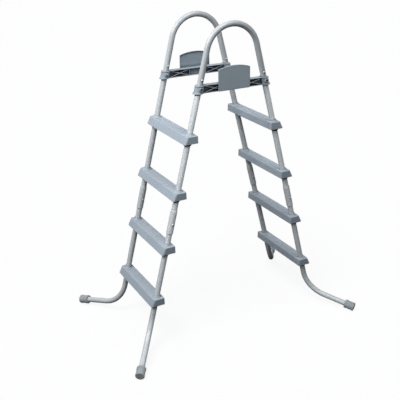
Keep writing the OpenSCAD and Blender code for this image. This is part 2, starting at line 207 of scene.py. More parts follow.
def rounded_rect(x0, x1, y0, y1, radius, steps):
    """Outline, anticlockwise from the low corner."""
    out = []
    for x, y, first in (
        (x0 + radius, y0 + radius, 180),
        (x1 - radius, y0 + radius, 270),
        (x1 - radius, y1 - radius, 0),
        (x0 + radius, y1 - radius, 90),
    ):
        out += arc(x, y, radius, [first + 90 * k / steps for k in range(steps + 1)])
    return out


def block(x0, x1, y0, y1, z0, z1):
    return loft([[(x0, y0, z), (x1, y0, z), (x1, y1, z), (x0, y1, z)] for z in (z0, z1)])


def join_data(parts):
    """One solid's data from several."""
    verts, faces = [], []
    for part_verts, part_faces in parts:
        base = len(verts)
        verts += list(part_verts)
        faces += [[base + i for i in face] for face in part_faces]
    return verts, faces


def moved(data, matrix):
    verts, faces = data
    if matrix.determinant() < 0:
        faces = [list(reversed(face)) for face in faces]
    return [tuple(matrix @ Vector(v)) for v in verts], faces


# ---------------------------------------------------------------- mesh objects


def solid(name, data):
    """A new mesh object with its faces turned outward."""
    verts, faces = data
    mesh = bpy.data.meshes.new(name)
    mesh.from_pydata([(v[0] * MM, v[1] * MM, v[2] * MM) for v in verts], [], faces)
    mesh.update()
    piece = bpy.data.objects.new(name, mesh)
    SCENE.collection.objects.link(piece)
    work = bmesh.new()
    work.from_mesh(mesh)
    bmesh.ops.recalc_face_normals(work, faces=work.faces)
    work.to_mesh(mesh)
    work.free()
    return piece


def discard(piece):
    mesh = piece.data
    bpy.data.objects.remove(piece)
    bpy.data.meshes.remove(mesh)


def take_data(piece):
    """Turns a finished shape back into data and removes its object."""
    verts = [tuple(v.co * 1000) for v in piece.data.vertices]
    faces = [list(polygon.vertices) for polygon in piece.data.polygons]
    discard(piece)
    return verts, faces


def carve(piece, data, operation="DIFFERENCE"):
    """Boolean of a piece with a solid given as data."""
    cutter = solid(piece.name + "_tool", data)
    modifier = piece.modifiers.new("carve", "BOOLEAN")
    modifier.operation = operation
    modifier.solver = "MANIFOLD"
    modifier.object = cutter
    bpy.context.view_layer.update()
    depsgraph = bpy.context.evaluated_depsgraph_get()
    mesh = bpy.data.meshes.new_from_object(piece.evaluated_get(depsgraph))
    piece.modifiers.clear()
    old = piece.data
    piece.data = mesh
    bpy.data.meshes.remove(old)
    discard(cutter)


def add(piece, data):
    carve(piece, data, "UNION")


def shade(piece):
    piece.data.shade_smooth()
    piece.data.set_sharp_from_angle(angle=math.radians(30))
    modifier = piece.modifiers.new("weighted", "WEIGHTED_NORMAL")
    modifier.keep_sharp = True
    modifier.weight = 80


# ---------------------------------------------------------------- material tools


class Surface:
    """Short way to write a node material. Lengths here are in metres."""

    def __init__(self, name):
        self.mat = bpy.data.materials.new(name)
        self.mat.use_nodes = True
        self.tree = self.mat.node_tree
        self.tree.nodes.clear()
        self.out = self.add("ShaderNodeOutputMaterial")
        self.bsdf = self.add("ShaderNodeBsdfPrincipled")
        self.link(self.bsdf.outputs[0], self.out.inputs["Surface"])
        self.position = self.add("ShaderNodeTexCoord").outputs["Object"]

    def add(self, kind, **props):
        node = self.tree.nodes.new(kind)
        for key, value in props.items():
            setattr(node, key, value)
        return node

    def link(self, source, target):
        self.tree.links.new(source, target)

    def put(self, socket, value):
        if isinstance(value, bpy.types.NodeSocket):
            self.link(value, socket)
        else:
            socket.default_value = value

    def noise(self, scale, detail=3.0, rough=0.55, vector=None, distortion=0.0):
        node = self.add("ShaderNodeTexNoise")
        self.put(node.inputs["Vector"], vector if vector is not None else self.position)
        node.inputs["Scale"].default_value = scale
        node.inputs["Detail"].default_value = detail
        node.inputs["Roughness"].default_value = rough
        node.inputs["Distortion"].default_value = distortion
        return node.outputs["Fac"]

    def stretched(self, factors):
        """The object position, multiplied axis by axis."""
        node = self.add("ShaderNodeVectorMath", operation="MULTIPLY")
        self.put(node.inputs[0], self.position)
        node.inputs[1].default_value = factors
        return node.outputs[0]

    def remap(self, value, low, high, to_low=0.0, to_high=1.0):
        node = self.add("ShaderNodeMapRange", clamp=True)
        self.put(node.inputs["Value"], value)
        for key, limit in (
            ("From Min", low), ("From Max", high), ("To Min", to_low), ("To Max", to_high)
        ):
            node.inputs[key].default_value = limit
        return node.outputs[0]

    def patches(self, scale, detail, low=0.35, high=0.65, to_low=0.0, to_high=1.0, **noise):
        """Noise whose low..high band is spread over to_low..to_high."""
        return self.remap(self.noise(scale, detail, **noise), low, high, to_low, to_high)

    def calc(self, operation, first, second=0.5):
        node = self.add("ShaderNodeMath", operation=operation)
        self.put(node.inputs[0], first)
        self.put(node.inputs[1], second)
        return node.outputs[0]

    def mix(self, factor, first, second):
        node = self.add("ShaderNodeMix", data_type="RGBA", blend_type="MIX")
        self.put(node.inputs["Factor"], factor)
        self.put(node.inputs["A"], first)
        self.put(node.inputs["B"], second)
        return node.outputs["Result"]

    def tint(self, color, mask, strength, to):
        """Moves a colour towards another where the mask is high."""
        return self.mix(self.calc("MULTIPLY", mask, strength), color, to)

    def mottled(self, base, gains, **pattern):
        """The base colour varied in patches between two brightness gains."""
        return self.mix(self.patches(**pattern), toned(base, gains[0]), toned(base, gains[1]))

    def edge(self, radius):
        """0 on flat faces, rising to 1 on rounded-over edges."""
        bevel = self.add("ShaderNodeBevel", samples=4)
        bevel.inputs["Radius"].default_value = radius
        geometry = self.add("ShaderNodeNewGeometry")
        dot = self.add("ShaderNodeVectorMath", operation="DOT_PRODUCT")
        self.link(bevel.outputs[0], dot.inputs[0])
        self.link(geometry.outputs["Normal"], dot.inputs[1])
        return self.remap(dot.outputs["Value"], low=1.0, high=0.86)

    def hollow(self, distance, samples=8, lift=0.0):
        """1 in the open, falling towards 0 in corners; with lift, mostly below an overhang."""
        node = self.add("ShaderNodeAmbientOcclusion", samples=samples)
        node.inputs["Distance"].default_value = distance
        if lift:
            geometry = self.add("ShaderNodeNewGeometry")
            raised = self.add("ShaderNodeVectorMath", operation="ADD")
            self.link(geometry.outputs["Normal"], raised.inputs[0])
            raised.inputs[1].default_value = (0.0, 0.0, lift)
            unit = self.add("ShaderNodeVectorMath", operation="NORMALIZE")
            self.link(raised.outputs[0], unit.inputs[0])
            self.link(unit.outputs[0], node.inputs["Normal"])
        return node.outputs["AO"]

    def bump(self, height, strength, distance, normal=None):
        node = self.add("ShaderNodeBump")
        node.inputs["Strength"].default_value = strength
        node.inputs["Distance"].default_value = distance
        self.put(node.inputs["Height"], height)
        if normal is not None:
            self.put(node.inputs["Normal"], normal)
        return node.outputs[0]

    def axes(self, vector):
        """The X, Y and Z outputs of a vector."""
        node = self.add("ShaderNodeSeparateXYZ")
        self.link(vector, node.inputs[0])
        return node.outputs

    def finish(self, color, rough, normal=None, metallic=0.0, spec=0.5, coat=0.0, coat_rough=0.2):
        inputs = self.bsdf.inputs
        self.put(inputs["Base Color"], color)
        self.put(inputs["Roughness"], rough)
        inputs["Metallic"].default_value = metallic
        inputs["Specular IOR Level"].default_value = spec
        inputs["Coat Weight"].default_value = coat
        inputs["Coat Roughness"].default_value = coat_rough
        if normal is not None:
            self.put(inputs["Normal"], normal)
        return self.mat


def srgb(*channels):
    """Linear colour from 0-255 values."""

    def linear(value):
        value /= 255
        return value / 12.92 if value <= 0.04045 else ((value + 0.055) / 1.055) ** 2.4

    return tuple(linear(c) for c in channels) + (1.0,)


def toned(color, gain):
    """A colour made brighter or darker."""
    return tuple(min(1, c * gain) for c in color[:3]) + (1.0,)


# ---------------------------------------------------------------- materials


def powder_steel():
    """Satin powder coat: fine orange peel, faint cloudiness, rubbed specks and dust low down;
    painted shade in creases and under collars, and a painted shadow line at the socket ends.
    """
    surf = Surface("powder_steel")
    base = (0.512, 0.547, 0.572, 1)
    col = surf.mottled(base, gains=(0.965, 1.03), scale=9.0, detail=4.0)
    speck = surf.patches(scale=260.0, detail=2.0, low=0.70, high=0.78)
    col = surf.tint(col, speck, strength=0.25, to=toned(base, gain=0.72))
    near_floor = surf.remap(surf.axes(surf.position)["Z"], low=0.32, high=0.0)
    dusty = surf.patches(scale=28.0, detail=5.0, low=0.42, high=0.72)
    dust = surf.calc("MULTIPLY", near_floor, dusty)
    col = surf.tint(col, dust, strength=0.10, to=srgb(172, 168, 160))
    # painted shade: the tubes go dark in the creases where they meet other parts and round the
    # buttons
    crease_shade = surf.remap(surf.hollow(distance=0.007), low=0.86, high=0.42)
    col = surf.tint(col, crease_shade, strength=0.70, to=toned(base, gain=0.12))
    # painted shadow: the tubes go dark close under the collars, treads and other overhangs
    under = surf.remap(surf.hollow(distance=0.020, lift=0.7), low=0.62, high=0.40)
    col = surf.tint(col, under, strength=0.75, to=toned(base, gain=0.12))
    # painted shadow: a dark line under the socket's lip, where a lower leg enters its socket, a
    # little way along the leg
    line_offset = 0.0012
    axes = surf.axes(surf.position)
    along = surf.calc("MULTIPLY", axes["Z"], math.cos(LEAN))
    aside = surf.calc("MULTIPLY", surf.calc("ABSOLUTE", axes["X"]), math.sin(LEAN))
    start = (SOCKET_Z * math.cos(LEAN) - leg_x(SOCKET_Z) * math.sin(LEAN)) * MM
    from_line = surf.calc("ADD", surf.calc("SUBTRACT", along, aside), line_offset - start)
    line = surf.remap(surf.calc("ABSOLUTE", from_line), low=0.0026, high=0.0013)
    col = surf.tint(col, line, strength=0.85, to=toned(base, gain=0.10))
    rough = surf.patches(scale=34.0, detail=4.0, low=0.3, high=0.7, to_low=0.30, to_high=0.40)
    peel = surf.bump(surf.noise(scale=480.0, detail=2.0), strength=0.035, distance=0.0004)
    wave = surf.noise(scale=60.0, detail=2.0)
    normal = surf.bump(wave, strength=0.02, distance=0.001, normal=peel)
    return surf.finish(col, rough, normal, coat=0.18, coat_rough=0.16)


def moulded(name, base, grain=900.0, rough=(0.48, 0.60), edge_gain=1.10, vary=0.035):
    """Moulded plastic: fine spark-eroded grain, flow clouds, slightly polished edges and painted
    shade in recesses.
    """
    surf = Surface(name)
    col = surf.mottled(base, gains=(1 - vary, 1 + vary), scale=7.0, detail=4.0, distortion=0.6)
    fine = surf.patches(scale=420.0, detail=3.0)
    col = surf.tint(col, fine, strength=0.5, to=toned(base, gain=1 - vary * 1.6))
    rounded = surf.edge(radius=0.0016)
    rubbed = surf.patches(scale=55.0, detail=4.0, low=0.30, high=0.62)
    worn = surf.calc("MULTIPLY", rounded, rubbed)
    col = surf.tint(col, worn, strength=0.55, to=toned(base, edge_gain))
    # painted shade: near black in recesses, creases and corners, from an occlusion mask
    recess_shade = surf.remap(surf.hollow(distance=0.03, samples=12), low=0.80, high=0.38)
    col = surf.tint(col, recess_shade, strength=0.94, to=toned(base, gain=0.05))
    dull = surf.patches(
        scale=48.0, detail=4.0, low=0.3, high=0.7, to_low=rough[0], to_high=rough[1]
    )
    polish = 0.10  # taken off the roughness of worn edges
    dull = surf.calc("SUBTRACT", dull, surf.calc("MULTIPLY", worn, polish))
    normal = surf.bump(surf.noise(grain, detail=2.0), strength=0.22, distance=0.0005)
    wave = surf.noise(scale=22.0, detail=2.0)
    normal = surf.bump(wave, strength=0.06, distance=0.002, normal=normal)
    return surf.finish(col, dull, normal, spec=0.45)


def cap_rubber():
    """Scuffed rubber, dirty near the floor."""
    surf = Surface("cap_rubber")
    base = srgb(152, 159, 163)
    col = surf.mottled(base, gains=(0.93, 1.05), scale=30.0, detail=4.0)
    scuff = surf.patches(scale=170.0, detail=5.0, rough=0.7, low=0.52, high=0.70)
    col = surf.tint(col, scuff, strength=0.35, to=toned(base, gain=1.22))
    near_floor = surf.remap(surf.axes(surf.position)["Z"], low=0.02, high=0.0)
    dirt = surf.calc("MULTIPLY", near_floor, surf.patches(scale=90.0, detail=4.0))
    col = surf.tint(col, dirt, strength=0.5, to=srgb(120, 112, 100))
    rough = surf.patches(scale=60.0, detail=4.0, low=0.3, high=0.7, to_low=0.62, to_high=0.80)
    grain = surf.bump(surf.noise(scale=520.0, detail=3.0), strength=0.35, distance=0.0006)
    return surf.finish(col, rough, grain, spec=0.35)


def metal(name, base, rough, brushed=False, stain=0.2, shaded=0.0, metallic=1.0):
    """Bare metal with faint stains; shaded paints shade on undersides and corners."""
    surf = Surface(name)
    vector = surf.stretched((1.0, 1.0, 12.0)) if brushed else None
    grain = surf.noise(scale=380.0, detail=4.0, vector=vector)
    dull = surf.remap(grain, low=0.3, high=0.7, to_low=rough[0], to_high=rough[1])
    col = surf.mottled(base, gains=(1.0, 1 - stain), scale=120.0, detail=4.0, low=0.4, high=0.7)
    if shaded:
        # painted shade: the lower half and the foot of a dome stay dark
        up = surf.axes(surf.add("ShaderNodeNewGeometry").outputs["Normal"])["Z"]
        below = surf.remap(up, low=0.25, high=-0.35)
        corner = surf.remap(surf.hollow(distance=0.006), low=0.80, high=0.40)
        dark = surf.calc("MAXIMUM", below, corner)
        col = surf.tint(col, dark, shaded, to=toned(base, gain=0.06))
    normal = surf.bump(grain, strength=0.12, distance=0.0002)
    return surf.finish(col, dull, normal, metallic)


def black_steel():
    """Blackened steel: dark, with rubbed bright edges."""
    surf = Surface("black_steel")
    base = srgb(40, 43, 46)
    col = surf.mottled(base, gains=(0.85, 1.25), scale=300.0, detail=4.0)
    col = surf.tint(col, surf.edge(radius=0.0006), strength=0.5, to=toned(base, gain=4.0))
    rough = surf.patches(scale=150.0, detail=3.0, low=0.3, high=0.7, to_low=0.38, to_high=0.52)
    grain = surf.bump(surf.noise(scale=900.0, detail=2.0), strength=0.15, distance=0.0003)
    return surf.finish(col, rough, grain, metallic=0.3)


MATS = {
    "powder_steel": powder_steel(),
    "tread_plastic": moulded("tread_plastic", base=(0.350, 0.408, 0.470, 1)),
    "panel_plastic": moulded(
        "panel_plastic", base=(0.335, 0.402, 0.457, 1), vary=0.02, edge_gain=1.15
    ),
    "collar_plastic": moulded(
        "collar_plastic", base=srgb(46, 50, 53), grain=1100.0, rough=(0.40, 0.52), edge_gain=1.6
    ),
    "cap_rubber": cap_rubber(),
    # near-white base with a part-diffuse finish: a painted reflection of a white surround on the
    # domes, which also get painted shade below
    "button_metal": metal(
        "button_metal", base=srgb(243, 244, 245), rough=(0.22, 0.32),
        stain=0.04, shaded=0.94, metallic=0.45,
    ),
    "black_steel": black_steel(),
    "zinc_steel": metal("zinc_steel", base=srgb(205, 208, 210), rough=(0.22, 0.38)),
    "spring_steel": metal(
        "spring_steel", base=srgb(170, 172, 176), rough=(0.25, 0.40), brushed=True
    ),
}

# starts of node names and their material; the first match counts
NODE_SLOTS = (
    (("handrail", "upper_leg", "lower_leg"), "powder_steel"),
    (("step_l", "step_r", "brace"), "tread_plastic"),
    (("panel_screws",), "black_steel"),
    (("collar_bolts", "collar_nuts"), "zinc_steel"),
    (("panel",), "panel_plastic"),
    (("step_collars",), "collar_plastic"),
    (("foot_cap",), "cap_rubber"),
    (("button",), "button_metal"),
    (("",), "spring_steel"),
)

for node_name, node_piece in nodes.items():
    slot_name = next(slot for starts, slot in NODE_SLOTS if node_name.startswith(starts))
    node_piece.data.materials.clear()
    node_piece.data.materials.append(MATS[slot_name])

# ---------------------------------------------------------------- handing pieces over

made_pieces = []


def stand_for(piece, node, slot):
    """Finishes a piece and puts it in place of a CAD node."""
    piece.data.materials.clear()
    piece.data.materials.append(MATS[slot])
    for polygon in piece.data.polygons:
        polygon.material_index = 0
    shade(piece)
    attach(piece, "ladder")
    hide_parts(node)
    made_pieces.append(piece)


def stand_in_rows(data, name, node, y, z, slot):
    """A copy for the back row and its mirror image for the front row."""
    for row, side_y in ROWS:
        place = Matrix.Translation((0, side_y * y, z)) @ Matrix.Diagonal((1, side_y, 1, 1))
        piece = solid("%s_%s" % (name, row), moved(data, place))
        stand_for(piece, "%s_%s" % (node, row), slot)


# ---------------------------------------------------------------- treads
# The +X tread is drawn about the point where the leg axes' plane meets its top.

STEP_H = 40.5
step_lo, step_hi = node_box("step_r1")
STEP_LEN = step_hi.y - step_lo.y
RING_H = (step_hi.z - step_lo.z) - STEP_H  # rise of the seats above the top
STEP_WALL = 3.0
# reach of the inner (-x) and outer (+x) side from the origin, at top and bottom
IN_TOP, OUT_TOP, IN_BOT, OUT_BOT = 32.5, 30.5, 34.0, 49.7
END_TAPER = 0.5  # each end draws in by this towards the top
IN_CORNER, OUT_CORNER = 6, 13  # corner radii in plan
IN_EDGE, OUT_EDGE, END_EDGE = 3.8, 5.2, 3.0  # edge radii round the top
EDGE_STEPS = 6
RIB_PITCH, RIB_T, RIB_FLARE, RIB_INSET = 80.0, 2.4, 0.25, 1.4
SEAT_R, SEAT_K, SEAT_D = 26.5, 0.82, 8.5  # foot radius, radius lost per height, rise on the axis
SEAT_IN_R, SEAT_SEG = 12.0, 96
FIELD_X0, FIELD_X1, FIELD_Y, FIELD_D = -24.0, 21.5, 173.0, 0.55  # sunk grip field
PIP_PITCH = 6.6
PIP_COLUMN = PIP_PITCH * 0.87


def tread_sides(z, inset=0.0):
    """Inner x, outer x and half length of the tread at height z."""
    rise = (z + STEP_H) / STEP_H
    return (
        -(IN_BOT + (IN_TOP - IN_BOT) * rise) + inset,
        OUT_BOT + (OUT_TOP - OUT_BOT) * rise - inset,
        STEP_LEN / 2 - END_TAPER * rise - inset,
    )


def tread_ring(x0, x1, y, radii, steps):
    """Outline whose sides can lie at different heights: x0, x1 and y are (place, height)."""
    out = []
    for side_x, side_y, radius, first, z0, z1 in (
        (x0[0], -y[0], radii[0], 180, x0[1], y[1]),
        (x1[0], -y[0], radii[1], 270, y[1], x1[1]),
        (x1[0], y[0], radii[1], 0, x1[1], y[1]),
        (x0[0], y[0], radii[0], 90, y[1], x0[1]),
    ):
        radius = max(radius, 0.4)
        centre_x = side_x + (radius if side_x < 0 else -radius)
        centre_y = side_y + (radius if side_y < 0 else -radius)
        for k in range(steps + 1):
            angle = math.radians(first + 90.0 * k / steps)
            share = k / steps
            share = share * share * (3 - 2 * share)
            x = centre_x + radius * math.cos(angle)
            out.append((x, centre_y + radius * math.sin(angle), z0 + (z1 - z0) * share))
    return out


def tread_section(z, inset, wall, radii, steps):
    """Level outline at height z."""
    x0, x1, y = tread_sides(z, wall)
    return tread_ring((x0 + inset, z), (x1 - inset, z), (y - inset, z), radii, steps)


def rounded_side(top, bottom, radius, turn):
    """Place and height on a top edge's rounding, turn running from 0 (side) to 1 (top)."""
    draft = math.atan((bottom - top) / STEP_H)
    centre = top - radius * (1 - math.sin(draft)) / math.cos(draft)
    angle = draft + (math.pi / 2 - draft) * turn
    return centre + radius * math.cos(angle), -radius + radius * math.sin(angle)


def tread_outer():
    # (height above the bottom, inset)
    foot = ((0.0, 0.9), (0.12, 0.45), (0.4, 0.15), (0.9, 0.0), (STEP_H - 22.0, 0.0))
    rings = []
    for height, inset in foot:
        radii = (IN_CORNER - inset, OUT_CORNER - inset)
        rings.append(tread_section(-STEP_H + height, inset, 0.0, radii, EDGE_STEPS))
    for k in range(EDGE_STEPS + 1):
        turn = k / EDGE_STEPS
        x0 = rounded_side(IN_TOP, IN_BOT, IN_EDGE, turn)
        x1 = rounded_side(OUT_TOP, OUT_BOT, OUT_EDGE, turn)
        y = rounded_side(STEP_LEN / 2 - END_TAPER, STEP_LEN / 2, END_EDGE, turn)
        inset = (1 - math.cos(math.pi / 2 * turn)) * 4.0
        radii = (IN_CORNER - inset, OUT_CORNER - inset)
        rings.append(tread_ring((-x0[0], x0[1]), x1, y, radii, EDGE_STEPS))
    return loft(rings)


def tread_cavity():
    """Hollow under the tread, its roof rounded into the walls."""
    # (height, inset)
    levels = ((-STEP_H - 1.2, 0.0), (-5.6, 0.0), (-4.4, 0.4), (-3.6, 1.2), (-3.2, 2.4))
    return loft([tread_section(z, inset, STEP_WALL, (3.5, 10.5), 4) for z, inset in levels])


def tread_rib(y):
    """Cross rib that fills the section between the walls."""
    rings = []
    for z, half in ((-35.0, RIB_T / 2), (-1.6, RIB_T / 2 + RIB_FLARE)):
        x0, x1, _ = tread_sides(z, RIB_INSET)
        rings.append([(x0, y - half, z), (x1, y - half, z), (x1, y + half, z), (x0, y + half, z)])
    return loft(rings)


def tread_socket(y):
    """Sleeve that runs through the tread round a leg."""

    def place(radius, z, angle):
        x = -z * math.tan(LEAN) + radius * math.cos(angle) / math.cos(LEAN)
        return (x, y + radius * math.sin(angle), z)

    profile = [
        (13.0, -STEP_H + 0.4), (20.4, -STEP_H + 0.4), (21.0, -STEP_H + 1.0),
        (21.0, -2.0), (13.0, -2.0),
    ]
    return lathe(profile, 96, place)


def tread_seat(y):
    """Flared seat on top of the tread, its rim square to the leg."""
    sin_lean, cos_lean = math.sin(LEAN), math.cos(LEAN)

    # Each section gives the radius and height of its ring where the cosine round it is given.
    def rim_height(cosine):
        slope = cosine * sin_lean
        return (SEAT_D + SEAT_R * slope) / (cos_lean + SEAT_K * slope)

    def flat(cosine, radius, z):
        return radius, z

    def foot(cosine, degrees):
        """Concave sweep from the flat top up to the cone."""
        angle = math.radians(degrees)
        size = min(1.6, rim_height(cosine) * 0.45)
        radius = SEAT_R - SEAT_K * size + (1 - math.sin(angle)) * size * 1.5
        return radius, size * (1 - math.cos(angle))

    def edge(cosine, degrees):
        """Rounded rim."""
        angle = math.radians(degrees)
        size = 0.9
        z = rim_height(cosine) - size
        radius = SEAT_R - SEAT_K * z
        radius -= SEAT_K * size * math.sin(angle) * 0.4
        radius -= size * 1.1 * (1 - math.cos(angle))
        return radius, z + size * math.sin(angle)

    def top(cosine, radius):
        return radius, (SEAT_D + radius * cosine * sin_lean) / cos_lean

    def ring(section, *values):
        out = []
        for k in range(SEAT_SEG):
            angle = 2 * math.pi * k / SEAT_SEG
            radius, z = section(math.cos(angle), *values)
            out.append((radius * math.cos(angle), y + radius * math.sin(angle), z))
        return out

    rings = [
        ring(flat, SEAT_IN_R, -4.0),
        ring(flat, SEAT_R + 1.2, -4.0),
        ring(flat, SEAT_R + 1.2, -0.6),
    ]
    rings += [ring(foot, degrees) for degrees in (0, 25, 50, 75)]
    rings += [ring(edge, degrees) for degrees in (0, 25, 50, 70, 90)]
    rings.append(ring(top, SEAT_IN_R))
    return loft(rings, looped=True)


def tread_bore(y):
    """Hole for a leg, widened a little at the seat's rim."""
    profile = [
        (0.0, -70.0), (BORE_R, -70.0), (BORE_R, SEAT_D - 0.6), (BORE_R + 0.6, SEAT_D),
        (BORE_R + 0.6, SEAT_D + 16), (0.0, SEAT_D + 16),
    ]
    place = Matrix.Translation((0, y, 0)) @ Matrix.Rotation(-LEAN, 4, "Y")
    return moved(lathe(profile, 96), place)


def tread_field():
    rings = []
    # (height, inset)
    for z, inset in ((-FIELD_D, 0.9), (-FIELD_D + 0.12, 0.5), (0.0, 0.0), (1.5, -1.0)):
        outline = rounded_rect(
            FIELD_X0 + inset, FIELD_X1 - inset, -FIELD_Y + inset, FIELD_Y - inset, 7 - inset, 6
        )
        rings.append([(x, y, z) for x, y in outline])
    return loft(rings)


def tread_pips():
    """Low round studs in staggered rows, for grip."""
    profile = [
        (0.0, -1.3), (1.5, -1.3), (1.5, -FIELD_D + 0.05), (1.15, -FIELD_D + 0.24),
        (0.7, -FIELD_D + 0.36), (0.0, -FIELD_D + 0.4),
    ]
    verts, faces = lathe(profile, 10)
    parts = []
    columns = int((FIELD_X1 - FIELD_X0 - 6) / PIP_COLUMN)
    spaces = int((2 * FIELD_Y - 9) / PIP_PITCH)
    for i in range(columns + 1):
        x = (FIELD_X0 + FIELD_X1) / 2 - columns * PIP_COLUMN / 2 + i * PIP_COLUMN
        stagger = 0.5 if i % 2 else 0.0
        for k in range(spaces + (0 if i % 2 else 1)):
            y = (k - spaces / 2 + stagger) * PIP_PITCH
            # the field's rounded corners stay clear
            if i in (0, columns) and abs(y) > FIELD_Y - 8:
                continue
            parts.append(([(v[0] + x, v[1] + y, v[2]) for v in verts], faces))
    return join_data(parts)


def build_tread():
    piece = solid("tread_shape", tread_outer())
    carve(piece, tread_cavity())
    add(piece, join_data([tread_rib(j * RIB_PITCH) for j in (-2, -1, 0, 1, 2)]))
    add(piece, join_data([tread_socket(-LEG_Y), tread_socket(LEG_Y)]))
    add(piece, join_data([tread_seat(-LEG_Y), tread_seat(LEG_Y)]))
    carve(piece, tread_field())
    add(piece, tread_pips())
    carve(piece, join_data([tread_bore(-LEG_Y), tread_bore(LEG_Y)]))
    return take_data(piece)


tread = build_tread()
for side, side_x in SIDES:
    for k in range(1, 5):
        step = "step_%s%d" % (side[0], k)
        top_z = node_box(step)[1].z - RING_H
        place = Matrix.Translation((side_x * leg_x(top_z), 0, top_z))
        place = place @ Matrix.Diagonal((side_x, 1, 1, 1))
        piece = solid("tread_%s%d" % (side[0], k), moved(tread, place))
        stand_for(piece, step, "tread_plastic")

# ---------------------------------------------------------------- locking collars under the treads

LOCK_H = 13.9
PEG_DROP = 7.0  # a peg's axis below the tread


def lock_collar(side_x, side_y, top_z):
    """A turned collar that leans with the leg, hanging down from top_z."""
    # (radius, height from the top)
    profile = (
        [(BORE_R, -LOCK_H + 0.6), (BORE_R + 0.6, -LOCK_H), (19.0, -LOCK_H)]
        + arc(19.0, -LOCK_H + 1.2, 1.2, (-60, -30, 0))
        + [(20.4, -6.6), (19.9, -6.2), (19.9, -5.6), (20.5, -5.2), (20.6, -1.0)]
        + arc(20.0, -0.7, 0.6, (0, 45, 90))
        + [(BORE_R, -0.1)]
    )
    profile = [(radius, top_z + height) for radius, height in profile]
    return leg_lathe(profile, 72, side_x, side_y * LEG_Y)


def collar_peg(side_x, side_y, z):
    """Peg of a collar, into the outer side of the leg."""
    profile = [
        (0.0, TUBE_R - 2.6), (1.8, TUBE_R - 2.6), (2.4, TUBE_R - 2.0),
        (2.4, TUBE_R + 1.6), (0.0, TUBE_R + 1.6),
    ]
    place = (
        Matrix.Translation((side_x * leg_x(z), side_y * LEG_Y, z))
        @ Matrix.Rotation(-side_x * LEAN, 4, "Y")
        @ Matrix.Rotation(math.radians(-90 * side_x), 4, "Y")
    )
    return moved(lathe(profile, 24), place)


for side, side_x in SIDES:
    collars, pegs = [], []
    for k in range(1, 5):
        bottom_z = node_box("step_%s%d" % (side[0], k))[0].z
        for _, side_y in ROWS:
            collars.append(lock_collar(side_x, side_y, bottom_z))
            pegs.append(collar_peg(side_x, side_y, bottom_z - PEG_DROP))
    piece = solid("collars_" + side, join_data(collars))
    add(piece, join_data(pegs))
    stand_for(piece, "step_collars_" + side, "collar_plastic")

# ---------------------------------------------------------------- braces

BOLT_Z = BRACE_TOP - 19.0
SCREW_X = 85.0
FLANGE_T, WEB_T, BAY_X = 4.0, 3.0, 53.0
TOP_HALF_W, BOT_HALF_W = 17, 14  # half widths of the flanges
FLANGE_EDGE, FLANGE_CORNER = 1.1, 2
BOSS_R, BOSS_FOOT_R = 24.0, 27.0
BOLT_BOSS_Y = 29.0  # half length of the boss round a bolt


def flange(half_x, half_y, z0, z1):
    """Flat bar with rounded corners and edges."""
    steps = 3
    bends = [math.pi / 2 * k / steps for k in range(steps + 1)]
    # (inset, height)
    levels = [
        (FLANGE_EDGE * (1 - math.sin(a)), z0 + FLANGE_EDGE * (1 - math.cos(a))) for a in bends
    ]
    levels += [
        (FLANGE_EDGE * (1 - math.cos(a)), z1 - FLANGE_EDGE + FLANGE_EDGE * math.sin(a))
        for a in bends
    ]
    rings = []
    for inset, z in levels:
        x1, y1 = half_x - inset, half_y - inset
        radius = max(FLANGE_CORNER - inset * 0.5, 0.3)
        rings.append([(x, y, z) for x, y in rounded_rect(-x1, x1, -y1, y1, radius, 4)])
    return loft(rings)


def rib(start, end, width, thick, edge):
    """Straight rib between two points of the xz plane, its width across y, edges softened."""
    start, end = Vector(start), Vector(end)
    along = (end - start).normalized()
    normal = Vector((-along.z, 0, along.x))
    w, t = width / 2, thick / 2
    section = (
        (-w + edge, -t), (w - edge, -t), (w, -t + edge), (w, t - edge),
        (w - edge, t), (-w + edge, t), (-w, t - edge), (-w, -t + edge),
    )
    return loft(
        [[tuple(p + Vector((0, y, 0)) + normal * off) for y, off in section] for p in (start, end)]
    )


def leg_boss(side_x):
    """Boss round a leg, with a wider foot on the lower flange."""
    top, bottom = BRACE_TOP, BRACE_BOT
    profile = (
        [(11.0, bottom)]
        + arc(BOSS_FOOT_R, bottom + 1.0, 1.0, (-90, -60, -30, 0))
        + arc(BOSS_FOOT_R, bottom + 5.0, 1.0, (0, 30, 60, 90))
        + arc(BOSS_R + 1.6, bottom + 7.6, 1.6, (270, 240, 210, 180))
        + arc(BOSS_R + 1.4, top - FLANGE_T - 1.4, 1.4, (180, 150, 120, 90))
        + [(26.0, top - FLANGE_T)]
        + arc(25.2, top - 0.8, 0.8, (0, 30, 60, 90))
        + [(11.0, top)]
    )
    return leg_lathe(profile, 96, side_x)


def leg_bore(side_x):
    """Hole for a leg, chamfered at both ends."""
    wide = BORE_R + 0.8
    profile = [
        (0, BRACE_BOT - 8), (wide, BRACE_BOT - 8), (wide, BRACE_BOT), (BORE_R, BRACE_BOT + 0.8),
        (BORE_R, BRACE_TOP - 0.8), (wide, BRACE_TOP), (wide, BRACE_TOP + 8), (0, BRACE_TOP + 8),
    ]
    return leg_lathe(profile, 96, side_x)


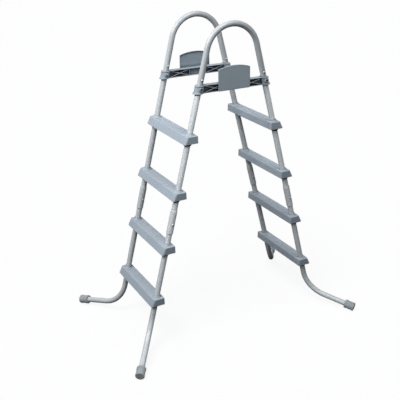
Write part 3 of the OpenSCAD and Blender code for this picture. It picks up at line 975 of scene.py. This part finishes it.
def build_brace():
    """Brace of the +Y side about its own middle line."""
    top, bottom = BRACE_TOP, BRACE_BOT
    top_x, bottom_x = leg_x(top), leg_x(bottom)
    piece = solid("brace_shape", flange(top_x, TOP_HALF_W, top - FLANGE_T, top))
    add(piece, flange(bottom_x, BOT_HALF_W, bottom, bottom + FLANGE_T))
    web_x = top_x - 2
    add(piece, block(-web_x, web_x, -WEB_T / 2, WEB_T / 2, bottom + 1.5, top - 1.5))

    # an upright and a cross on each side of the middle bay
    cross_z0, cross_z1 = bottom + FLANGE_T + 0.3, top - FLANGE_T - 0.3
    for s in (-1, 1):
        near, far = s * BAY_X, s * (top_x - 20)
        upright = rib((near, 0, bottom + 2), (near, 0, top - 2), width=31, thick=2.4, edge=0.35)
        add(piece, upright)
        for z0, z1 in ((cross_z0, cross_z1), (cross_z1, cross_z0)):
            add(piece, rib((near, 0, z0), (far, 0, z1), width=30, thick=3.2, edge=0.5))

    end = BOLT_BOSS_Y
    bolt_boss = [
        (0, -end), (9.2, -end), (9.9, -end + 0.3), (10.2, -end + 1.0), (10.6, -24.0),
        (10.6, 24.0), (10.2, end - 1.0), (9.9, end - 0.3), (9.2, end), (0, end),
    ]
    for s in (-1, 1):
        add(piece, leg_boss(s))
        add(piece, along_y(s * leg_x(BOLT_Z), BOLT_Z, bolt_boss))

    bolt_hole = [
        (0, -40), (3.2, -40), (3.2, 20.0), (6.6, 20.0), (6.6, 28.3), (7.2, 29.05), (7.2, 40), (0, 40)
    ]
    screw_hole = [(0, -12), (2.2, -12), (2.2, 12), (0, 12)]
    for s in (-1, 1):
        carve(piece, leg_bore(s))
        carve(piece, along_y(s * leg_x(BOLT_Z), BOLT_Z, bolt_hole))
        carve(piece, along_y(s * SCREW_X, BRACE_MID, screw_hole, 24))
    return take_data(piece)


stand_in_rows(build_brace(), "brace_beam", "brace", LEG_Y, 0, "tread_plastic")

# ---------------------------------------------------------------- arched panels

panel_lo, panel_hi = node_box("panel_back")
PANEL_W = (panel_hi.x - panel_lo.x) / 2  # half width
PANEL_H = panel_hi.z - panel_lo.z
PANEL_Z0 = panel_lo.z
PANEL_T = 8.0
PANEL_Y = panel_hi.y - LEG_Y - PANEL_T  # back of the panel, from the leg axes
PANEL_R = 300.0  # of the arched top
PANEL_EDGE = 1.6
PANEL_RIM = 2.6  # width left round the recess


def arched_outline(inset, base, foot_radius, shoulder_radius, corner_steps):
    """Panel outline drawn in by inset, with its lower side at base."""
    half = PANEL_W - inset
    top = PANEL_H - inset
    radius = PANEL_R - inset
    shoulder = top - radius + math.sqrt(radius * radius - half * half)
    reach = math.asin((half - 0.1) / radius)
    points = [(-half, base, foot_radius), (half, base, foot_radius)]
    points.append((half, shoulder, shoulder_radius))
    for j in range(1, 20):
        angle = reach - 2 * reach * j / 20
        points.append((radius * math.sin(angle), top - radius + radius * math.cos(angle), 0))
    points.append((-half, shoulder, shoulder_radius))
    return fillet(points, corner_steps)


def panel_body():
    face = PANEL_T
    # (inset, y): back edge, front edge, then a groove that runs round the face
    levels = [(0.7, 0.0), (0.2, 0.2), (0.0, 0.7)]
    levels += arc(PANEL_EDGE, face - PANEL_EDGE, PANEL_EDGE, (180, 162, 144, 126, 108, 90))
    levels += [
        (4.4, face), (4.7, face - 0.1), (4.9, face - 0.6),
        (5.5, face - 0.6), (5.7, face - 0.1), (6.0, face),
    ]
    rings = []
    for inset, y in levels:
        outline = arched_outline(inset, inset, max(3 - inset, 0.5), max(7 - inset, 0.8), 6)
        rings.append([(x, y, z) for x, z in outline])
    return loft(rings)


def panel_recess():
    """Recess on the inner side, above the brace."""
    base = BRACE_TOP - PANEL_Z0 + 2.5
    rings = []
    # (inset, y)
    for i, y in ((0, -2.0), (0, PANEL_T - 3.4), (0.3, PANEL_T - 2.9), (0.9, PANEL_T - 2.6)):
        outline = arched_outline(PANEL_RIM + i, base + i, 2.0, 5.0, 5)
        rings.append([(x, y, z) for x, z in outline])
    return loft(rings)


def build_panel():
    """Panel of the +Y side: y runs outward from its back."""
    piece = solid("panel_shape", panel_body())
    carve(piece, panel_recess())
    post = [(0, -15.4), (3.8, -15.4), (4.2, -15.0), (4.6, 2.0), (0, 2.0)]
    hole = [(0, -20), (1.9, -20), (1.9, 0.2), (0, 1.4)]
    for s in (-1, 1):
        add(piece, along_y(s * SCREW_X, BRACE_MID - PANEL_Z0, post, 32))
        carve(piece, along_y(s * SCREW_X, BRACE_MID - PANEL_Z0, hole, 24))
    return take_data(piece)


stand_in_rows(
    build_panel(), "arched_panel", "panel", LEG_Y + PANEL_Y, PANEL_Z0, "panel_plastic"
)

# ---------------------------------------------------------------- foot caps

FOOT_TURN = math.radians(33.5)  # from Y towards X
FOOT_DIP = math.radians(10.8)  # below level
FOOT_LEN = 318.0  # from the corner of the leg and foot axes to the tip
BEND_R = 165.0
CAP_R, CAP_LEN = 26.0, 60.0
FOOT_Z = FOOT_LEN * math.sin(FOOT_DIP) + CAP_R * math.cos(FOOT_DIP) - 2


def cap_frame(side_x, side_y):
    """Frame at a cap's open end: +z points out along the foot."""
    level = math.cos(FOOT_DIP)
    foot = Vector((
        side_x * math.sin(FOOT_TURN) * level,
        side_y * math.cos(FOOT_TURN) * level,
        -math.sin(FOOT_DIP),
    ))
    leg = Vector((side_x * math.sin(LEAN), 0, -math.cos(LEAN)))
    bend = math.acos(leg.dot(foot))
    tangent = BEND_R * math.tan(bend / 2)
    across = (foot - leg * foot.dot(leg)).normalized()
    normal = leg.cross(across)
    start = Vector((side_x * leg_x(FOOT_Z), side_y * LEG_Y, FOOT_Z)) - leg * tangent
    rows = [(across[i], normal[i], leg[i], start[i]) for i in range(3)]
    bend_end = (BEND_R * (1 - math.cos(bend)), 0, BEND_R * math.sin(bend))
    place = Matrix(rows + [(0, 0, 0, 1)])
    place = place @ Matrix.Translation(bend_end) @ Matrix.Rotation(bend, 4, "Y")
    return place @ Matrix.Translation((0, 0, FOOT_LEN - tangent - CAP_LEN))


def cap_profile():
    """Turned shape of a cap: bore, collar, waist, and a rounded tip with a sunk end."""
    wide, tip = CAP_R, CAP_LEN
    return (
        [(BORE_R, tip - 7.8), (BORE_R, 0.8), (BORE_R + 0.7, 0.0), (wide - 3.4, 0.0)]
        + arc(wide - 3.0, 3.0, 3.0, (-65, -40, -20, 0))
        + [(wide, 13.2)]
        + arc(wide - 0.7, 13.2, 0.7, (30, 60, 90))
        + [(wide - 1.5, 14.2), (wide - 1.7, 15.0), (wide - 1.2, tip - 12.5)]
        + [(wide - 0.7, tip - 11.6), (wide - 0.2, tip - 10.8), (wide - 0.2, tip - 7.0)]
        + arc(wide - 5.2, tip - 5.6, 5.0, (10, 25, 40, 55, 70, 85))
        + [(wide - 7.5, tip - 0.5), (wide - 8.2, tip - 1.6), (wide - 9.2, tip - 1.9)]
        + [(5.0, tip - 1.9), (3.6, tip - 1.2), (0.0, tip - 1.0), (0.0, tip - 7.8)]
    )


def build_cap(side_x, side_y, label):
    place = cap_frame(side_x, side_y)
    piece = solid("foot_boot_" + label, moved(lathe(cap_profile(), 96), place))
    # flat sole at floor level, with grip grooves across it
    middle = place @ Vector((0, 0, CAP_LEN / 2))
    x, y = middle.x, middle.y
    carve(piece, block(x - 200, x + 200, y - 200, y + 200, -120, 0))
    out = place.to_3x3() @ Vector((0, 0, 1))
    turn = Matrix.Rotation(math.atan2(out.y, out.x), 4, "Z")
    groove = block(-0.8, 0.8, -30, 30, -4, 0.9)
    grooves = []
    for k in range(-3, 4):
        centre = place @ Vector((0, 0, CAP_LEN - 22 + k * 6.0))
        grooves.append(moved(groove, Matrix.Translation((centre.x, centre.y, 0)) @ turn))
    carve(piece, join_data(grooves))
    stand_for(piece, "foot_cap_" + label, "cap_rubber")


for row, side_y in ROWS:
    for side, side_x in SIDES:
        build_cap(side_x, side_y, row[0] + side[0])

# ---------------------------------------------------------------- floor

FLOOR_GLOW = 0.865  # emission that only the camera sees
FLOOR_BOUNCE = 0.5  # share of the floor's colour left for all other rays
FLOOR_HALF, FLOOR_Z = 60.0, -0.0005  # metres


def floor_material():
    surf = Surface("floor")
    seen = surf.add("ShaderNodeLightPath").outputs["Is Camera Ray"]
    tone = surf.patches(scale=1.2, detail=3.0, low=0.3, high=0.7, to_low=0.80, to_high=0.82)
    share = surf.remap(seen, low=0.0, high=1.0, to_low=FLOOR_BOUNCE, to_high=1.0)
    tone = surf.calc("MULTIPLY", tone, share)
    col = surf.mix(tone, (0, 0, 0, 1), (1, 1, 1, 1))
    surf.finish(col, rough=0.95, spec=0.0)
    surf.bsdf.inputs["Emission Color"].default_value = (1, 1, 1, 1)
    surf.put(surf.bsdf.inputs["Emission Strength"], surf.calc("MULTIPLY", seen, FLOOR_GLOW))
    return surf.mat


floor_mesh = bpy.data.meshes.new("floor")
floor_corners = [
    (x * FLOOR_HALF, y * FLOOR_HALF, FLOOR_Z) for x, y in ((-1, -1), (1, -1), (1, 1), (-1, 1))
]
floor_mesh.from_pydata(floor_corners, [], [[0, 1, 2, 3]])
floor = bpy.data.objects.new("floor", floor_mesh)
SCENE.collection.objects.link(floor)
floor_mesh.materials.append(floor_material())
floor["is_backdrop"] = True

# ---------------------------------------------------------------- lights
# The studio lights fall on the ladder only, so that the floor stays even; it has its own sun.


def light_group(name, members):
    group = bpy.data.collections.new(name)
    for member in members:
        group.objects.link(member)
    return group


def leg_nodes(row_letter):
    return [
        node
        for name, node in nodes.items()
        if name.startswith(("upper_leg", "lower_leg")) and name[-2] == row_letter
    ]


all_pieces = list(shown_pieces())
lit = light_group("lit_pieces", all_pieces)
front_legs = light_group("lit_front_legs", leg_nodes("f"))
back_legs = light_group("lit_back_legs", leg_nodes("b"))
legs = light_group("lit_legs", leg_nodes("f") + leg_nodes("b"))
caps = light_group("lit_caps", [o for o in all_pieces if o.name.startswith("foot_boot")])
moulds = light_group("lit_moulds", made_pieces)
braces = light_group("lit_braces", [o for o in all_pieces if o.name.startswith("brace_beam")])
unbraced = light_group(
    "lit_all_but_braces", [o for o in all_pieces if not o.name.startswith("brace_beam")]
)
ground = light_group("lit_floor", [floor])


def add_light(name, kind, energy, direction, receivers):
    data = bpy.data.lights.new(name, kind)
    data.energy = energy
    light = bpy.data.objects.new(name, data)
    light.rotation_mode = "QUATERNION"
    light.rotation_quaternion = direction.to_track_quat("-Z", "Y")
    SCENE.collection.objects.link(light)
    light.light_linking.receiver_collection = receivers
    return light


POWER_UNIT = 40.0  # watts
MIDDLE = (0.0, 0.0, 0.95)
LEG_AIM = (0.1, 0.0, 0.8)
CAP_AIM = (-0.3, -0.7, 0.0)

# name, place, aim (metres), width and height (metres), power in units, what it lights
AREA_LIGHTS = (
    ("left_high", (-3.2, 0.4, 4.2), MIDDLE, (1.8, 1.8), 3.00, unbraced),
    ("brace_left", (-3.2, 0.4, 4.2), MIDDLE, (1.8, 1.8), 1.65, braces),
    ("brace_top", (-0.7, -0.5, 4.8), MIDDLE, (1.2, 1.2), 0.65, braces),
    ("left_mid", (-3.4, -0.9, 3.0), MIDDLE, (1.6, 1.6), 0.45, lit),
    ("left_top", (-1.9, -0.6, 3.0), MIDDLE, (1.2, 1.2), 0.30, lit),
    ("front_high", (0.2, -1.5, 4.6), MIDDLE, (1.2, 1.2), 1.45, lit),
    ("front_left_high", (-1.8, -2.2, 4.0), MIDDLE, (1.2, 1.2), 0.60, lit),
    ("front_leg_kick", (-0.7, -2.4, 2.8), LEG_AIM, (0.7, 0.9), 0.95, front_legs),
    ("back_leg_kick", (-1.1, -2.4, 2.8), LEG_AIM, (0.7, 0.9), 0.26, back_legs),
    ("leg_left", (-3.0, -0.6, 3.0), MIDDLE, (1.4, 1.4), 0.30, legs),
    ("mould_face", (0.7, -3.0, 1.2), MIDDLE, (1.2, 1.2), 0.14, moulds),
    ("cap_face", (-0.6, -3.4, 0.5), CAP_AIM, (1.0, 0.8), 0.55, caps),
    ("mould_right", (4.2, 0.0, 1.0), MIDDLE, (2.0, 1.6), 0.60, moulds),
    ("mould_top", (-1.5, -0.3, 4.4), MIDDLE, (1.2, 1.2), 0.30, moulds),
    ("right", (4.2, 0.3, 1.2), MIDDLE, (2.2, 1.6), 0.16, lit),
    ("back_right", (2.0, 3.9, 1.5), MIDDLE, (2.4, 2.0), 0.85, lit),
    ("back", (-0.6, 4.4, 1.8), MIDDLE, (2.2, 2.2), 0.30, lit),
    ("back_left", (-3.2, 3.2, 2.8), MIDDLE, (2.0, 2.0), 0.15, lit),
)

for name, location, aim, size, power, receivers in AREA_LIGHTS:
    direction = Vector(aim) - Vector(location)
    light = add_light(name, "AREA", power * POWER_UNIT, direction, receivers)
    light.location = location
    light.visible_camera = False
    light.data.shape = "RECTANGLE"
    light.data.size, light.data.size_y = size

sun = add_light(
    "floor_sun", "SUN", energy=0.25, direction=Vector((0.55, 0.28, -1.0)), receivers=ground
)
sun.data.angle = math.radians(28)

# ---------------------------------------------------------------- world
# A faint cool light for the ladder; the camera sees plain white.

world = bpy.data.worlds.new("world")
SCENE.world = world
world.use_nodes = True
tree = world.node_tree
tree.nodes.clear()
world_out = tree.nodes.new("ShaderNodeOutputWorld")
switch = tree.nodes.new("ShaderNodeMixShader")
ray = tree.nodes.new("ShaderNodeLightPath")
tree.links.new(ray.outputs["Is Camera Ray"], switch.inputs[0])
for slot, color, strength in ((1, (0.96, 0.98, 1.0, 1), 0.085), (2, (1, 1, 1, 1), 1.0)):
    background = tree.nodes.new("ShaderNodeBackground")
    background.inputs["Color"].default_value = color
    background.inputs["Strength"].default_value = strength
    tree.links.new(background.outputs[0], switch.inputs[slot])
tree.links.new(switch.outputs[0], world_out.inputs[0])

SCENE.view_settings.view_transform = "Standard"
SCENE.view_settings.look = "None"
SCENE.view_settings.exposure = 0.0
SCENE.view_settings.gamma = 1.0

# ---------------------------------------------------------------- camera

CAMERA_PLACE = (-1.87246, -3.40024, 2.33858)  # metres
BEARING = math.radians(27.570)  # from +Y towards +X
PITCH = math.radians(-22.642)  # negative looks down
ROLL = math.radians(0.987)

camera_data = bpy.data.cameras.new("camera")
camera_data.sensor_width = 36.0
camera_data.lens = 64.5624
camera_data.clip_start, camera_data.clip_end = 0.05, 200.0
camera = bpy.data.objects.new("camera", camera_data)
SCENE.collection.objects.link(camera)
forward = Vector((
    math.sin(BEARING) * math.cos(PITCH),
    math.cos(BEARING) * math.cos(PITCH),
    math.sin(PITCH),
))
level_right = Vector((math.cos(BEARING), -math.sin(BEARING), 0))
level_down = forward.cross(level_right)
right = level_right * math.cos(ROLL) + level_down * math.sin(ROLL)
down = level_down * math.cos(ROLL) - level_right * math.sin(ROLL)
rotation = Matrix((right, -down, -forward)).transposed()
camera.matrix_world = Matrix.Translation(CAMERA_PLACE) @ rotation.to_4x4()
SCENE.camera = camera
